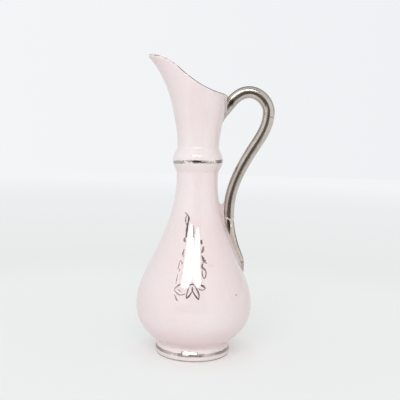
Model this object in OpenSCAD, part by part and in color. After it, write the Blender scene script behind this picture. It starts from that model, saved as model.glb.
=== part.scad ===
/* [Overall] */
// Height of the tip of the pouring lip above the table
jug_h = 158.5; // [150:0.5:170]

/* [Foot] */
// Radius of the foot where it stands
foot_r = 19.4; // [17:0.1:22]
// Height of the foot ring
foot_h = 6; // [5:0.1:8]
// Width of the foot ring from its lower edge to the recess inside it
foot_t = 4.8; // [3.5:0.1:8]
// How much the recess widens towards the table
recess_taper = 1; // [0.3:0.1:2]
// Rounding of the foot's lower edges
foot_edge = 0.5; // [0.2:0.1:0.8]
// How far the roll of the foot swells out
roll_out = 0.6; // [0.3:0.05:0.9]
// How far the roll tucks in again at the top of the foot
roll_tuck = 0.55; // [0.3:0.05:0.8]
// Height of the roll's fullest place below the top of the foot
roll_drop = 2; // [1.2:0.1:2.8]

/* [Body] */
// Thickness of the clay wall
wall = 2.8; // [2:0.1:3.6]
// Thickness of the floor inside the body
floor_t = 4.2; // [2.5:0.1:5]
// Radius of the underside where the cove ends
under_r = 21.5; // [20.5:0.1:23]
// Height of that place above the foot ring
under_rise = 2.6; // [2:0.1:4]
// Growth of the radius with height at that place
under_slope = 1.3; // [0.9:0.05:1.4]
// Radius of the belly at its widest
belly_r = 31.2; // [28:0.1:36]
// Height of the widest place above the foot ring
belly_rise = 20.9; // [17:0.1:25]
// Radius of the shoulder, halfway up the slope
shoulder_r = 23.4; // [20:0.1:26]
// Height of the shoulder above the widest place
shoulder_rise = 24; // [20:0.5:32]
// Loss of radius with height at the shoulder
shoulder_slope = 0.47; // [0.34:0.01:0.56]
// Radius of the throat, the narrowest place
throat_r = 11.1; // [9.5:0.1:13]

/* [Bead] */
// Height of the bead's lower edge above the narrowest place
bead_rise = 4.4; // [2:0.1:8]
// Length of the bead along the neck
bead_len = 13.6; // [9:0.1:18]
// How far the bead stands out from the neck
bead_out = 2.3; // [1.4:0.1:3.2]

/* [Neck and lip] */
// Height of the rim by the handle above the bead
neck_h = 27.9; // [24:0.1:34]
// Radius of the mouth away from the lip
mouth_r = 17.5; // [15:0.1:20]
// Length of neck over which the mouth opens out
flare_len = 41; // [36:0.5:50]
// Distance from the jug's axis to the tip of the pouring lip
lip_reach = 28.4; // [25:0.1:32]
// Height of the lip's tip above the rim by the handle
lip_rise = 19.6; // [14:0.1:26]
// Height above the bead at which the lip starts to draw out
lip_start = 19; // [12:0.5:24]
// How much the edge turns up at the tip
lip_kick = 1.4; // [0:0.1:3]
// Thickness of the clay at the rim
rim_t = 2; // [1.4:0.1:2.6]

/* [Handle] */
// Thickness of the handle over the arch
arch_d = 6.5; // [5:0.1:7.5]
// Thickness of the handle at its closest to the body
grip_d = 6; // [4.6:0.1:6.6]
// Thickness of the tail that lies on the shoulder
tail_d = 3.8; // [2.8:0.1:4.6]
// Width of the tail
tail_w = 4.8; // [3.6:0.1:6]
// Drop of the handle's upper edge below the rim, where it meets the neck
root_drop = 1.5; // [0.8:0.1:3]
// Height of the arch's middle line above the rim
arch_rise = 2.1; // [0:0.1:6]
// Distance from the jug's axis to the top of the arch
arch_x = 26.5; // [24:0.1:30]
// Distance from the jug's axis to the outermost middle line
handle_reach = 37; // [33:0.1:44]
// Drop of the outermost place below the rim
reach_drop = 8.3; // [7:0.1:14]
// Gap between the throat and the nearest middle line of the handle
grip_gap = 6.4; // [5.8:0.1:10]
// Height of that nearest place below the narrowest place of the throat
grip_drop = 16; // [10:0.5:18]
// Height of the tail's end above the widest place of the belly
tail_rise = 15.6; // [12:0.1:22]
// Length of the tail's last stretch, which dips into the shoulder
tail_dip = 10; // [7:0.5:14]

/* [Luting and lustre] */
// Gap between the handle and the clay that it is luted to
seat_gap = 0.1; // [0.05:0.05:0.3]
// Size of the slip fillet round the handle's root
fillet = 2; // [1:0.1:2.6]
// Width of the crotch between the handle and the shoulder that the slip web fills at its top
web_gap = 2.1; // [1.2:0.1:3]
// Width of the slip web
web_w = 3.4; // [2:0.1:4.2]
// Thickness of the platinum film
film = 0.15; // [0.1:0.05:0.3]
// Height of the band on the bead
neck_band_h = 1.8; // [1:0.1:3]
// Height of the band on the foot
foot_band_h = 1.6; // [1:0.1:2.2]
// Distance of that band's upper edge below the top of the foot
foot_band_drop = 1.6; // [1:0.1:2]
// Share of the rounded rim that the platinum line covers, in degrees
rim_line_sweep = 120; // [60:60:120]

/* [Sprig] */
// Height of the flower's middle below the shoulder
flower_drop = 9.4; // [6:0.1:14]
// Turn of the sprig round the jug from the front, towards the lip
sprig_turn = 4; // [0:1:15]
// Width of a painted stroke
stroke_w = 0.8; // [0.5:0.1:1.2]
// Length of a petal
petal_len = 6; // [4.5:0.5:8]
// Length of a leaf
leaf_len = 4.4; // [3:0.2:5.4]
// Height of the sprig from the flower to the tip of its stem
sprig_h = 34; // [24:1:40]
// Distance from the sprig's middle line to its outer stems
sprig_w = 8.4; // [7:0.1:10]

/* [Hidden] */
$fn = 96;

pink = "#ecdcdd";
slip_pink = "#e2cfcf";
platinum = "#b9b3aa";

// Heights of the stations, the belly's stacked on the foot and the neck's hung from the lip
floor_z = foot_h + floor_t;
belly_z = foot_h + belly_rise;
shoulder_z = belly_z + shoulder_rise;
back_z = jug_h - lip_rise;
neck_z = back_z - neck_h;
bead_z = neck_z - bead_len;
bead_mid = neck_z - bead_len / 2;
throat_z = bead_z - bead_rise;

// Stations of the outer profile, each with height, radius and slope
cove_at = [foot_h, foot_r + roll_out - roll_tuck, 0];
under_at = [foot_h + under_rise, under_r, under_slope];
belly_at = [belly_z, belly_r, 0];
shoulder_at = [shoulder_z, shoulder_r, -shoulder_slope];
throat_at = [throat_z, throat_r, 0];

// Height of the roll's fullest place, and the radius of the arc that rounds it over
roll_z = foot_h - roll_drop;
roll_arc = (roll_drop * roll_drop + roll_tuck * roll_tuck) / (2 * roll_tuck);

// Bands of platinum, from their lower to their upper edge
neck_band_lo = bead_mid - neck_band_h;
neck_band_hi = bead_mid;
foot_band_hi = foot_h - foot_band_drop;
foot_band_lo = foot_band_hi - foot_band_h;

// How softly the bead runs out into the neck
bead_soft = 1.5;

// How sharply the lip draws out with height, and how narrow it is from above
lip_draw = 2.7;
lip_pinch = 14;

// How late the rim climbs on its way round to the lip, and how short its upturned tip is
rim_climb = 2.15;
tip_pinch = 8;

// Number of steps along each stretch of a profile
fine_n = 12;
coarse_n = 6;

// Half the height over which a slope is measured
probe = 0.25;

function steps(from, to, count) = [for (i = [0:count]) from + (to - from) * i / count];
function inner_steps(from, to, count) = [for (i = [1:count]) from + (to - from) * i / count];
function clamp01(t) = min(1, max(0, t));
function smooth(t) = let (c = clamp01(t)) c * c * (3 - 2 * c);
function mix(a, b, t) = a + (b - a) * t;

// Cubic between two stations, as a radius at a height
function cubic(z, a, b) =
    let (len = b[0] - a[0], t = (z - a[0]) / len, u = 1 - t)
    u * u * (1 + 2 * t) * a[1] + t * u * u * len * a[2]
    + t * t * (3 - 2 * t) * b[1] - t * t * u * len * b[2];

// Outer radius of the body without its bead
function plain_r(z) =
    z < under_at[0] ? cubic(z, cove_at, under_at)
    : z < belly_z ? cubic(z, under_at, belly_at)
    : z < shoulder_z ? cubic(z, belly_at, shoulder_at)
    : z < throat_z ? cubic(z, shoulder_at, throat_at)
    : throat_r;

function bead_r(z) =
    let (u = (z - bead_mid) / (bead_len / 2))
    bead_out * pow(max(0, 1 - u * u), bead_soft);

function body_r(z) = plain_r(z) + bead_r(z);

// Inner radius of the body above its widest place, an even wall inside the plain profile
function inner_r(z) =
    let (slope = (plain_r(z + probe) - plain_r(z - probe)) / (2 * probe))
    plain_r(z) - wall * sqrt(1 + slope * slope);

// Point of the rounded bowl inside the belly, by its angle below the widest place
function bowl_point(a) =
    [(belly_r - wall) * pow(cos(a), 2 / 3), belly_z - (belly_z - floor_z) * pow(sin(a), 2 / 3)];

// Outer radius of the foot, swelling up to the roll, which rounds over in an arc
function foot_side(z) =
    z < roll_z
    ? foot_r + roll_out * sin(90 * z / roll_z)
    : foot_r + roll_out - roll_arc + sqrt(roll_arc * roll_arc - (z - roll_z) * (z - roll_z));

// Radius of the neck away from the lip
function flare_r(z) = throat_r + (mouth_r - throat_r) * smooth((z - neck_z) / flare_len);

// How far towards the lip a direction lies, from 0 by the handle to 1 at the tip
function lipward(a) = (1 - cos(a)) / 2;

// Radius of the neck in a direction at a height, drawn out towards the lip
function neck_r(a, z) =
    let (t = max(0, (z - neck_z - lip_start) / (jug_h - neck_z - lip_start)))
    flare_r(z) + (lip_reach - mouth_r) * pow(t, lip_draw) * pow(lipward(a), lip_pinch);

// Height of the rim's crest in a direction
function rim_z(a) =
    let (w = lipward(a))
    back_z + (lip_rise - lip_kick) * pow(w, rim_climb) + lip_kick * pow(w, tip_pinch);

// Outer radius of the jug behind the handle
function skin_r(z) = z > neck_z ? flare_r(z) : body_r(z);

// Faces between a number of rings of points, each joined to the next, and the last to the first in a loop
function ring_faces(rings, n, joined) =
    [for (i = [0:joined - 1], j = [0:n - 1], k = [0, 1])
        let (next = (i + 1) % rings, a = i * n + j, b = i * n + (j + 1) % n,
             c = next * n + j, d = next * n + (j + 1) % n)
        k == 0 ? [a, c, b] : [b, c, d]];
function tube_faces(rings, n) = ring_faces(rings, n, rings - 1);
function loop_faces(rings, n) = ring_faces(rings, n, rings);

module body() {
    outer = concat(steps(foot_h, under_at[0], coarse_n), inner_steps(under_at[0], belly_z, fine_n),
                   inner_steps(belly_z, shoulder_z, fine_n), inner_steps(shoulder_z, throat_z, fine_n),
                   inner_steps(throat_z, bead_z, 1), inner_steps(bead_z, neck_band_lo, coarse_n),
                   inner_steps(neck_band_lo, neck_band_hi, coarse_n),
                   inner_steps(neck_band_hi, neck_z, fine_n));
    inner = concat([neck_z], steps(throat_z, shoulder_z, fine_n), inner_steps(shoulder_z, belly_z, fine_n));
    color(pink)
    rotate_extrude()
    polygon(concat(
        [[0, foot_h]],
        [for (z = outer) [body_r(z), z]],
        [for (z = inner) [inner_r(z), z]],
        [for (a = steps(0, 90, fine_n)) if (a > 0 && a < 90) bowl_point(a)],
        [[0, floor_z]]));
}

module foot_ring() {
    recess_top = foot_r - foot_t;
    recess_low = recess_top + recess_taper;
    side = concat(steps(foot_edge, foot_band_lo, coarse_n),
                  inner_steps(foot_band_lo, foot_band_hi, coarse_n),
                  inner_steps(foot_band_hi, foot_h, coarse_n));
    color(pink)
    rotate_extrude()
    polygon(concat(
        [[recess_low + foot_edge, 0], [foot_side(0) - foot_edge, 0]],
        [for (z = side) [foot_side(z), z]],
        [[recess_top, foot_h], [recess_low, foot_edge]]));
}

// Directions round the mouth, crowded together towards the lip
mouth_n = 60;
mouth_crowd = 20;
mouth_angles = [for (i = [0:mouth_n - 1]) let (t = 360 * i / mouth_n) t + mouth_crowd * sin(t)];

// Slope of the neck's side in a direction at a height
function neck_slope(a, z) = (neck_r(a, z + probe) - neck_r(a, z - probe)) / (2 * probe);

// Points of the clay's edge, from the outer side over the crest to the inner side, raised by a film
function lip_point(a, sweep, lift) =
    let (z = rim_z(a) - rim_t / 2, s = neck_slope(a, z), len = sqrt(1 + s * s),
         out = [1 / len, -s / len], up = [s / len, 1 / len],
         at = [neck_r(a, z), z] - out * rim_t / 2,
         p = at + (rim_t / 2 + lift) * (cos(sweep) * out + sin(sweep) * up))
    [p[0] * cos(a), p[0] * sin(a), p[1]];

function outer_point(a, t) =
    let (z = mix(neck_z, rim_z(a) - rim_t / 2, t), r = neck_r(a, z))
    [r * cos(a), r * sin(a), z];

// The wall thins from the bead to the rim, and soon stands square to the neck's side
function inner_point(a, t) =
    let (z = mix(neck_z, rim_z(a) - rim_t / 2, t), s = neck_slope(a, z) * min(1, t / square_from),
         len = sqrt(1 + s * s), w = mix(wall, rim_t, t), r = neck_r(a, z) - w / len)
    [r * cos(a), r * sin(a), z + w * s / len];

// Share of the neck's height from which the wall is square to its side
square_from = 0.25;

// Step between the rows of points over the rounded rim, in degrees
lip_sweep = 30;

module neck_spout() {
    row_n = 14;
    points = concat(
        [for (i = [0:row_n], a = mouth_angles) outer_point(a, i / row_n)],
        [for (s = [lip_sweep:lip_sweep:180 - lip_sweep], a = mouth_angles) lip_point(a, s, 0)],
        [for (i = [row_n:-1:0], a = mouth_angles) inner_point(a, i / row_n)]);
    color(pink)
    polyhedron(points, loop_faces(len(points) / mouth_n, mouth_n));
}

module rim_line() {
    lo = 90 - rim_line_sweep / 2;
    sweeps = [lo:lip_sweep:180 - lo];
    back = [180 - lo:-lip_sweep:lo];
    points = concat(
        [for (s = sweeps, a = mouth_angles) lip_point(a, s, film)],
        [for (s = back, a = mouth_angles) lip_point(a, s, 0)]);
    color(platinum)
    polyhedron(points, loop_faces(len(points) / mouth_n, mouth_n));
}

// Both ends of the handle's middle line run on inside the clay, where its surface is cut back
root_sink = 5.5;
tail_sink = 2.6;

// Height of the tail's middle line over the shoulder before its last stretch
tail_lift = 1.4;

// Place of the S-curve's turning point between the grip and the outermost place, out and up
sway_out = 0.53;
sway_up = 0.59;

// Directions of the middle line at its root, at the turning point and where the tail dips
root_turn = 45;
sway_turn = -120;
dip_turn = -67;

// Stations of the handle's middle line, each with distance, height and direction
root_z = back_z - root_drop;
reach_z = back_z - reach_drop;
grip_x = throat_r + grip_gap;
grip_z = throat_z - grip_drop;
tail_z = belly_z + tail_rise;
dip_z = tail_z + tail_dip;
handle_at = [
    [flare_r(root_z) - root_sink, root_z - arch_d * sin(root_turn) - root_sink, root_turn],
    [arch_x, back_z + arch_rise, 0],
    [handle_reach, reach_z, -90],
    [mix(grip_x, handle_reach, sway_out), mix(grip_z, reach_z, sway_up), sway_turn],
    [grip_x, grip_z, -90],
    [body_r(dip_z) + tail_lift, dip_z, dip_turn],
    [body_r(tail_z) - tail_sink, tail_z, -90]];
handle_end = len(handle_at) - 1;

// Numbers of the stations at the top of the arch, the outermost place and the grip
arch_s = 1;
reach_s = 2;
grip_s = 4;

// Number of spans past the grip over which the handle flattens into its tail
flatten_n = 0.8;

// How far the curve keeps its direction at a station, as a share of the span
hold = 0.36;

function bezier(p, t) =
    let (u = 1 - t)
    u * u * u * p[0] + 3 * u * u * t * p[1] + 3 * u * t * t * p[2] + t * t * t * p[3];

function bezier_way(p, t) =
    let (u = 1 - t, d = u * u * (p[1] - p[0]) + 2 * u * t * (p[2] - p[1]) + t * t * (p[3] - p[2]))
    d / norm(d);

// Control points of one span of the handle
function span_curve(i) =
    let (a = handle_at[i], b = handle_at[i + 1], p = [a[0], a[1]], q = [b[0], b[1]],
         reach = norm(q - p) * hold)
    [p, p + reach * [cos(a[2]), sin(a[2])], q - reach * [cos(b[2]), sin(b[2])], q];

span_curves = [for (i = [0:handle_end - 1]) span_curve(i)];

// Thickness along the spans, from the arch over the grip to a thickness or width at the tail
function along(s, tail) =
    s < grip_s
    ? mix(arch_d, grip_d, smooth((s - reach_s) / (grip_s - reach_s)))
    : mix(grip_d, tail, clamp01((s - grip_s) / flatten_n));
function half_t(s) = along(s, tail_d) / 2;
function half_w(s) = along(s, tail_w) / 2;

// Point on the handle's surface, by its place along the spans and its angle from the outer side
function handle_point(s, a, lift = 0) =
    let (i = min(handle_end - 1, floor(s)), t = s - i,
         c = bezier(span_curves[i], t), way = bezier_way(span_curves[i], t),
         n = (half_t(s) + lift) * cos(a))
    [c[0] - way[1] * n, (half_w(s) + lift) * sin(a), c[1] + way[0] * n];

// Clearance of such a point from the jug
function clearance(s, a) =
    let (p = handle_point(s, a))
    norm([p[0], p[1]]) - skin_r(p[2]) - seat_gap;

// Place along the spans where one line of the handle leaves the jug
function meet(a, inside, outside, tries = 18) =
    let (s = (inside + outside) / 2)
    tries == 0 ? outside
    : clearance(s, a) > 0 ? meet(a, inside, s, tries - 1)
    : meet(a, s, outside, tries - 1);

handle_n = 16;
handle_angles = [for (j = [0:handle_n - 1]) -360 * j / handle_n];
root_at = [for (a = handle_angles) meet(a, 0, arch_s)];
tail_at = [for (a = handle_angles) meet(a, handle_end, grip_s)];

// Faces that close an end of the handle, laid across from one side to the other
function cap_faces(first, n, flip) =
    [for (j = [0:n / 2 - 1], k = [0, 1])
        let (a = first + j, b = first + j + 1, c = first + (n - j) % n, d = first + n - j - 1,
             f = k == 0 ? [a, b, d] : [a, d, c])
        if (f[0] != f[1] && f[1] != f[2] && f[0] != f[2]) flip ? [f[2], f[1], f[0]] : f];

module handle() {
    root_n = 7;
    arch_n = 20;
    tail_n = 12;
    points = concat(
        [for (i = [0:root_n - 1], j = [0:handle_n - 1])
            handle_point(mix(root_at[j], arch_s, i / root_n), handle_angles[j])],
        [for (s = steps(arch_s, grip_s, arch_n), a = handle_angles) handle_point(s, a)],
        [for (i = [1:tail_n], j = [0:handle_n - 1])
            handle_point(mix(grip_s, tail_at[j], i / tail_n), handle_angles[j])]);
    rings = len(points) / handle_n;
    color(platinum)
    polyhedron(points, concat(tube_faces(rings, handle_n), cap_faces(0, handle_n, false),
                              cap_faces((rings - 1) * handle_n, handle_n, true)));
}

// Point on the jug's skin, lifted by a gap, at a height and a side distance
function skin_point(y, z, lift) =
    let (r = skin_r(z) + lift)
    [sqrt(r * r - y * y), y, z];

// How far the upper fillet reaches round the handle from below, to each side
fillet_wrap = 100;

// Share of the fillet's size that is left at its ends, and how hollow its face is
fillet_thin = 0.3;
fillet_hollow = 0.3;

// Fillet of slip with a hollow face, under the handle's root and up both its sides
module upper_luting() {
    row_n = 12;
    span = norm([handle_at[arch_s][0] - handle_at[0][0], handle_at[arch_s][1] - handle_at[0][1]]);
    top = handle_point(meet(0, 0, arch_s), 0);
    bottom = handle_point(meet(180, 0, arch_s), 180);
    middle = (top[2] + bottom[2]) / 2;
    points = [for (i = [0:row_n])
        let (a = 180 + fillet_wrap * (1 - 2 * i / row_n), s = meet(a, 0, arch_s),
             size = fillet * mix(fillet_thin, 1, sin(180 * i / row_n)),
             corner = handle_point(s + seat_gap / span, a, seat_gap),
             high = handle_point(s + size / span, a, seat_gap),
             away = [corner[1], corner[2] - middle], spread = away * size / norm(away),
             low = skin_point(corner[1] + spread[0], corner[2] + spread[1], seat_gap),
             hollow = mix((high + low) / 2, corner, fillet_hollow))
        each [corner, high, hollow, low]];
    color(slip_pink)
    polyhedron(points, concat(tube_faces(row_n + 1, 4), strip_faces(0, 4, false),
                              strip_faces(row_n * 4, 4, true)));
}

// Place along the lower handle where its inner line stands a given distance off the jug
function stand_off(gap, near, far, tries = 18) =
    let (s = (near + far) / 2)
    tries == 0 ? far
    : clearance(s, 180) > gap ? stand_off(gap, near, s, tries - 1)
    : stand_off(gap, s, far, tries - 1);

// Web of slip in the crotch, between the handle's inner side and the shoulder
module lower_luting() {
    row_n = 6;
    low = stand_off(2 * seat_gap, handle_end, grip_s);
    high = stand_off(web_gap, low, grip_s - 1);
    spread = asin(web_w / grip_d);
    angles = steps(180 + spread, 180 - spread, 4);
    n = 2 * len(angles);
    points = [for (i = [0:row_n])
        let (s = mix(low, high, i / row_n), face = [for (a = angles) handle_point(s, a, seat_gap)])
        each concat(face, [for (j = [len(face) - 1:-1:0]) skin_point(face[j][1], face[j][2], seat_gap)])];
    color(slip_pink)
    polyhedron(points, concat(tube_faces(row_n + 1, n), strip_faces(0, n, false),
                              strip_faces(row_n * n, n, true)));
}

// Faces that close a flat end, whose second half of points runs back beside the first
function strip_faces(first, n, flip) =
    [for (j = [0:n / 2 - 2], k = [0, 1])
        let (a = first + j, b = first + j + 1, c = first + n - 1 - j, d = first + n - 2 - j,
             f = k == 0 ? [a, b, d] : [a, d, c])
        flip ? [f[2], f[1], f[0]] : f];

module neck_band() {
    side = steps(neck_band_lo, neck_band_hi, coarse_n);
    color(platinum)
    rotate_extrude()
    polygon(concat([for (z = side) [body_r(z), z]],
                   [for (i = [coarse_n:-1:0]) [body_r(side[i]) + film, side[i]]]));
}

module foot_band() {
    side = steps(foot_band_lo, foot_band_hi, coarse_n);
    color(platinum)
    rotate_extrude()
    polygon(concat([for (z = side) [foot_side(z), z]],
                   [for (i = [coarse_n:-1:0]) [foot_side(side[i]) + film, side[i]]]));
}

// Point on the front of the body, by its way along the surface from the sprig's middle line
function front_point(p, lift) =
    let (r = body_r(p[1]) + lift, a = -90 - sprig_turn + p[0] / r * 180 / PI)
    [r * cos(a), r * sin(a), p[1]];

// Share of a stroke's width that is left at its ends
stroke_thin = 0.35;

// Painted stroke along a curve, thin at both ends, on the glaze
module stroke(curve) {
    row_n = 6;
    under = seat_gap / 2;
    points = [for (i = [0:row_n])
        let (t = i / row_n, c = bezier(curve, t), way = bezier_way(curve, t),
             side = [-way[1], way[0]] * stroke_w / 2 * mix(stroke_thin, 1, sin(180 * t)))
        each [front_point(c - side, under), front_point(c + side, under),
              front_point(c + side, under + film), front_point(c - side, under + film)]];
    polyhedron(points, concat(tube_faces(row_n + 1, 4), strip_faces(0, 4, false),
                              strip_faces(row_n * 4, 4, true)));
}

// Leaf or petal drawn as two strokes from its base to its tip, which bulge by a share of its length
module leaf(base, turn, size, bulge) {
    way = [cos(turn), sin(turn)];
    side = [-sin(turn), cos(turn)];
    gap = stroke_w * 0.6;
    wide = gap + size * bulge;
    for (k = [-1, 1])
        stroke([base + k * side * gap, base + way * size / 3 + k * side * wide,
                base + way * size * 2 / 3 + k * side * wide, base + way * size + k * side * gap]);
}

// Bulge of a petal and of a leaf, and the step from a stem's middle line to a leaf's base
petal_bulge = 0.13;
leaf_bulge = 0.22;
leaf_step = 1.7 * stroke_w;

// Place on the front, in shares of the sprig's width and height from the flower
flower_z = shoulder_z - flower_drop;
function sprig_at(across, up) = [sprig_w * across, flower_z + sprig_h * up];
left_stem = [sprig_at(-0.87, 0.1), sprig_at(-0.68, 0.36), sprig_at(-0.49, 0.6), sprig_at(-0.37, 1)];
middle_stem = [sprig_at(0.04, 0.1), sprig_at(0.18, 0.3), sprig_at(-0.08, 0.5), sprig_at(-0.06, 0.8)];
right_stem = [sprig_at(0.82, 0.1), sprig_at(1.01, 0.26), sprig_at(0.54, 0.4), sprig_at(0.58, 0.62)];

// Flower of two hanging petals with a leaf to each side, and three stems with leaves along them
module sprig() {
    flower = sprig_at(0.155, 0.047);
    small = 0.85 * leaf_len;
    color(platinum) {
        for (s = [left_stem, middle_stem, right_stem])
            stroke(s);
        for (a = [-111, -63])
            leaf(flower + 1.4 * leaf_step * [cos(a), sin(a)], a, petal_len, petal_bulge);
        leaf(sprig_at(-0.35, -0.04), 187, 1.15 * leaf_len, leaf_bulge);
        leaf(sprig_at(0.49, 0.005), -11, leaf_len, leaf_bulge);
        for (t = [0.22, 0.5, 0.8])
            leaf(bezier(left_stem, t) - [leaf_step, 0], 118, small, leaf_bulge);
        for (t = [0.35, 0.7])
            leaf(bezier(middle_stem, t) + [leaf_step, 0], 62, small, leaf_bulge);
        for (t = [0.16, 0.5, 0.84])
            leaf(bezier(right_stem, t) + [leaf_step, 0], 52, small, leaf_bulge);
    }
}

body();
foot_ring();
neck_spout();
handle();
upper_luting();
lower_luting();
rim_line();
neck_band();
foot_band();
sprig();
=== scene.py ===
import math

import bmesh
import bpy
from mathutils import Matrix, Vector, noise


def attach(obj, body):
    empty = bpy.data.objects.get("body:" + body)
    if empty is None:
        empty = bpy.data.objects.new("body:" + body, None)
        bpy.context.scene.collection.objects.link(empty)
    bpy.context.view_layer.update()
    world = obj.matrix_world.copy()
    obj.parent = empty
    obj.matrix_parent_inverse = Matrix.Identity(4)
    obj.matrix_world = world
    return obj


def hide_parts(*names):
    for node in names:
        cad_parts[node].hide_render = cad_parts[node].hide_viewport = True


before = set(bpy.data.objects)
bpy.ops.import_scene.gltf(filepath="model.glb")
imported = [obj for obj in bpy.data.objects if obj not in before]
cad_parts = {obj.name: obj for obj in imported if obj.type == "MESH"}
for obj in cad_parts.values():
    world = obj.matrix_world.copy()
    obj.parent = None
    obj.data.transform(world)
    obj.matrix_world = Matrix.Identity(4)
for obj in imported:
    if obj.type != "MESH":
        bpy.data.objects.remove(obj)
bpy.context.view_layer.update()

# Lengths are in millimetres, as in the part's source, and become metres when a mesh is made
MM = 0.001

# Foot
foot_r = 19.4
foot_h = 6
foot_t = 4.8
recess_taper = 1
foot_edge = 0.5
roll_out = 0.7
roll_z = 2.4
lean_z = 3
lean_end = 5.3
roll_lean = 0.53
roll_soft = 0.45

# Body and bead
jug_h = 158.5
wall = 2.8
floor_t = 4.2
under_r = 21.5
under_rise = 2.6
under_slope = 1.3
belly_r = 31.2
belly_rise = 20.9
shoulder_r = 23.4
shoulder_rise = 24
shoulder_slope = 0.47
throat_r = 11.1
bead_rise = 4.4
bead_len = 13.6
bead_out = 2.3
bead_round = 1.5

# Neck and lip
neck_h = 27.9
mouth_r = 17.5
flare_len = 41
lip_reach = 28.4
lip_rise = 19.6
lip_start = 19
lip_kick = 1.4
lip_draw = 2.7
lip_narrow = 14
rim_curve = 2.15
kick_curve = 8
rim_t = 2
neck_tuck = 0.9
tuck_start = 16
tuck_len = 11

# Handle
arch_d = 6.5
grip_d = 6
tail_d = 3.8
tail_w = 4.8
root_drop = 1.5
arch_rise = 2.1
arch_x = 26.5
handle_reach = 37
reach_drop = 8.3
grip_gap = 6.4
grip_drop = 16
tail_rise = 15.6
tail_dip = 10
root_angle = 45
elbow_angle = -120
elbow_out = 0.53
elbow_up = 0.59
dip_angle = -67
span_pull = 0.36
tail_blend = 0.8
flat_depth = 0.87
squarer = 0.96
pull_marks = 0.04
handle_ease = 0.06

# Luting and lustre
sink = 0.25
fillet = 2.4
web_gap = 2.1
web_w = 4.2
feather = 0.03
film = 0.05
film_edge = 0.01
film_root = 0.1
neck_band_h = 1.8
foot_band_h = 1.6
foot_band_drop = 1.6
foot_band_shift = 0.1

# Steps over which slopes are taken
probe = 0.25
foot_probe = 0.1

# Heights of the stations
floor_z = foot_h + floor_t
under_z = foot_h + under_rise
belly_z = foot_h + belly_rise
shoulder_z = belly_z + shoulder_rise
back_z = jug_h - lip_rise
neck_z = back_z - neck_h
bead_z = neck_z - bead_len
bead_mid = neck_z - bead_len / 2
throat_z = bead_z - bead_rise
neck_band = (bead_mid - neck_band_h, bead_mid)
foot_band = (foot_h - foot_band_drop - foot_band_h - foot_band_shift, foot_h - foot_band_drop - foot_band_shift)


def bend(z, start):
    """Way gained by a line that turns to a slope of one, softly, from a start."""
    return math.hypot(max(0, z - start), roll_soft) - roll_soft


def foot_side(z):
    """Outer radius of the foot ring, a roll that leans inwards to the cove."""
    if z < roll_z:
        return foot_r + roll_out * math.sin(math.pi / 2 * z / roll_z)
    return foot_r + roll_out - roll_lean * (bend(z, lean_z) - bend(z, lean_end))


# Stations of the outer profile, each with height, radius and slope
profile_at = [
    (foot_h, foot_side(foot_h), (foot_side(foot_h) - foot_side(foot_h - foot_probe)) / foot_probe),
    (under_z, under_r, under_slope),
    (belly_z, belly_r, 0),
    (shoulder_z, shoulder_r, -shoulder_slope),
    (throat_z, throat_r, 0),
]


def steps(lo, hi, count):
    return [lo + (hi - lo) * i / count for i in range(count + 1)]


def mix(a, b, t):
    return a + (b - a) * t


def clamp01(t):
    return min(1, max(0, t))


def smooth(t):
    t = clamp01(t)
    return t * t * (3 - 2 * t)


def waver(*place):
    """Smooth unevenness between about -1 and 1, the same in each run."""
    return 1.4 * noise.noise(Vector(place))


def polar(r, a, z):
    return Vector((r * math.cos(a), r * math.sin(a), z))


def turns(n):
    return [2 * math.pi * i / n for i in range(n)]


# Radii of the jug

def cubic(z, a, b):
    """Radius on the curve from one station to the next."""
    length = b[0] - a[0]
    t = (z - a[0]) / length
    u = 1 - t
    return (u * u * (1 + 2 * t) * a[1] + t * u * u * length * a[2]
            + t * t * (3 - 2 * t) * b[1] - t * t * u * length * b[2])


def plain_r(z):
    """Outer radius of the body without its bead."""
    for a, b in zip(profile_at, profile_at[1:]):
        if z < b[0]:
            return cubic(z, a, b)
    return throat_r


def body_r(z):
    u = (z - bead_mid) / (bead_len / 2)
    return plain_r(z) + bead_out * max(0, 1 - u * u) ** bead_round


def inner_r(z):
    slope = (plain_r(z + probe) - plain_r(z - probe)) / (2 * probe)
    return plain_r(z) - wall * math.sqrt(1 + slope * slope)


def flare_r(z):
    return throat_r + (mouth_r - throat_r) * smooth((z - neck_z) / flare_len)


def lipward(a):
    """One at the lip, falling to nought at the handle."""
    return (1 - math.cos(a)) / 2


def neck_r(a, z):
    t = max(0, (z - neck_z - lip_start) / (jug_h - neck_z - lip_start))
    tuck = neck_tuck * smooth((z - neck_z - tuck_start) / tuck_len) * (1 - lipward(a)) ** 3
    return flare_r(z) + (lip_reach - mouth_r) * t ** lip_draw * lipward(a) ** lip_narrow - tuck


def rim_z(a):
    w = lipward(a)
    return back_z + (lip_rise - lip_kick) * w ** rim_curve + lip_kick * w ** kick_curve


def neck_slope(a, z):
    return (neck_r(a, z + probe) - neck_r(a, z - probe)) / (2 * probe)


def skin_r(z):
    """Outer radius of the jug behind the handle."""
    return neck_r(0, z) if z > neck_z else body_r(z)


# Mesh making

def ring_faces(rings, n, closed=False):
    """Faces between rings of n points, each joined to the next, and the last to the first if closed."""
    faces = []
    for i in range(rings if closed else rings - 1):
        for j in range(n):
            k = (j + 1) % n
            up = (i + 1) % rings
            faces.append((i * n + j, i * n + k, up * n + k, up * n + j))
    return faces


# Points closer together than this become one
weld = 0.001


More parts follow.
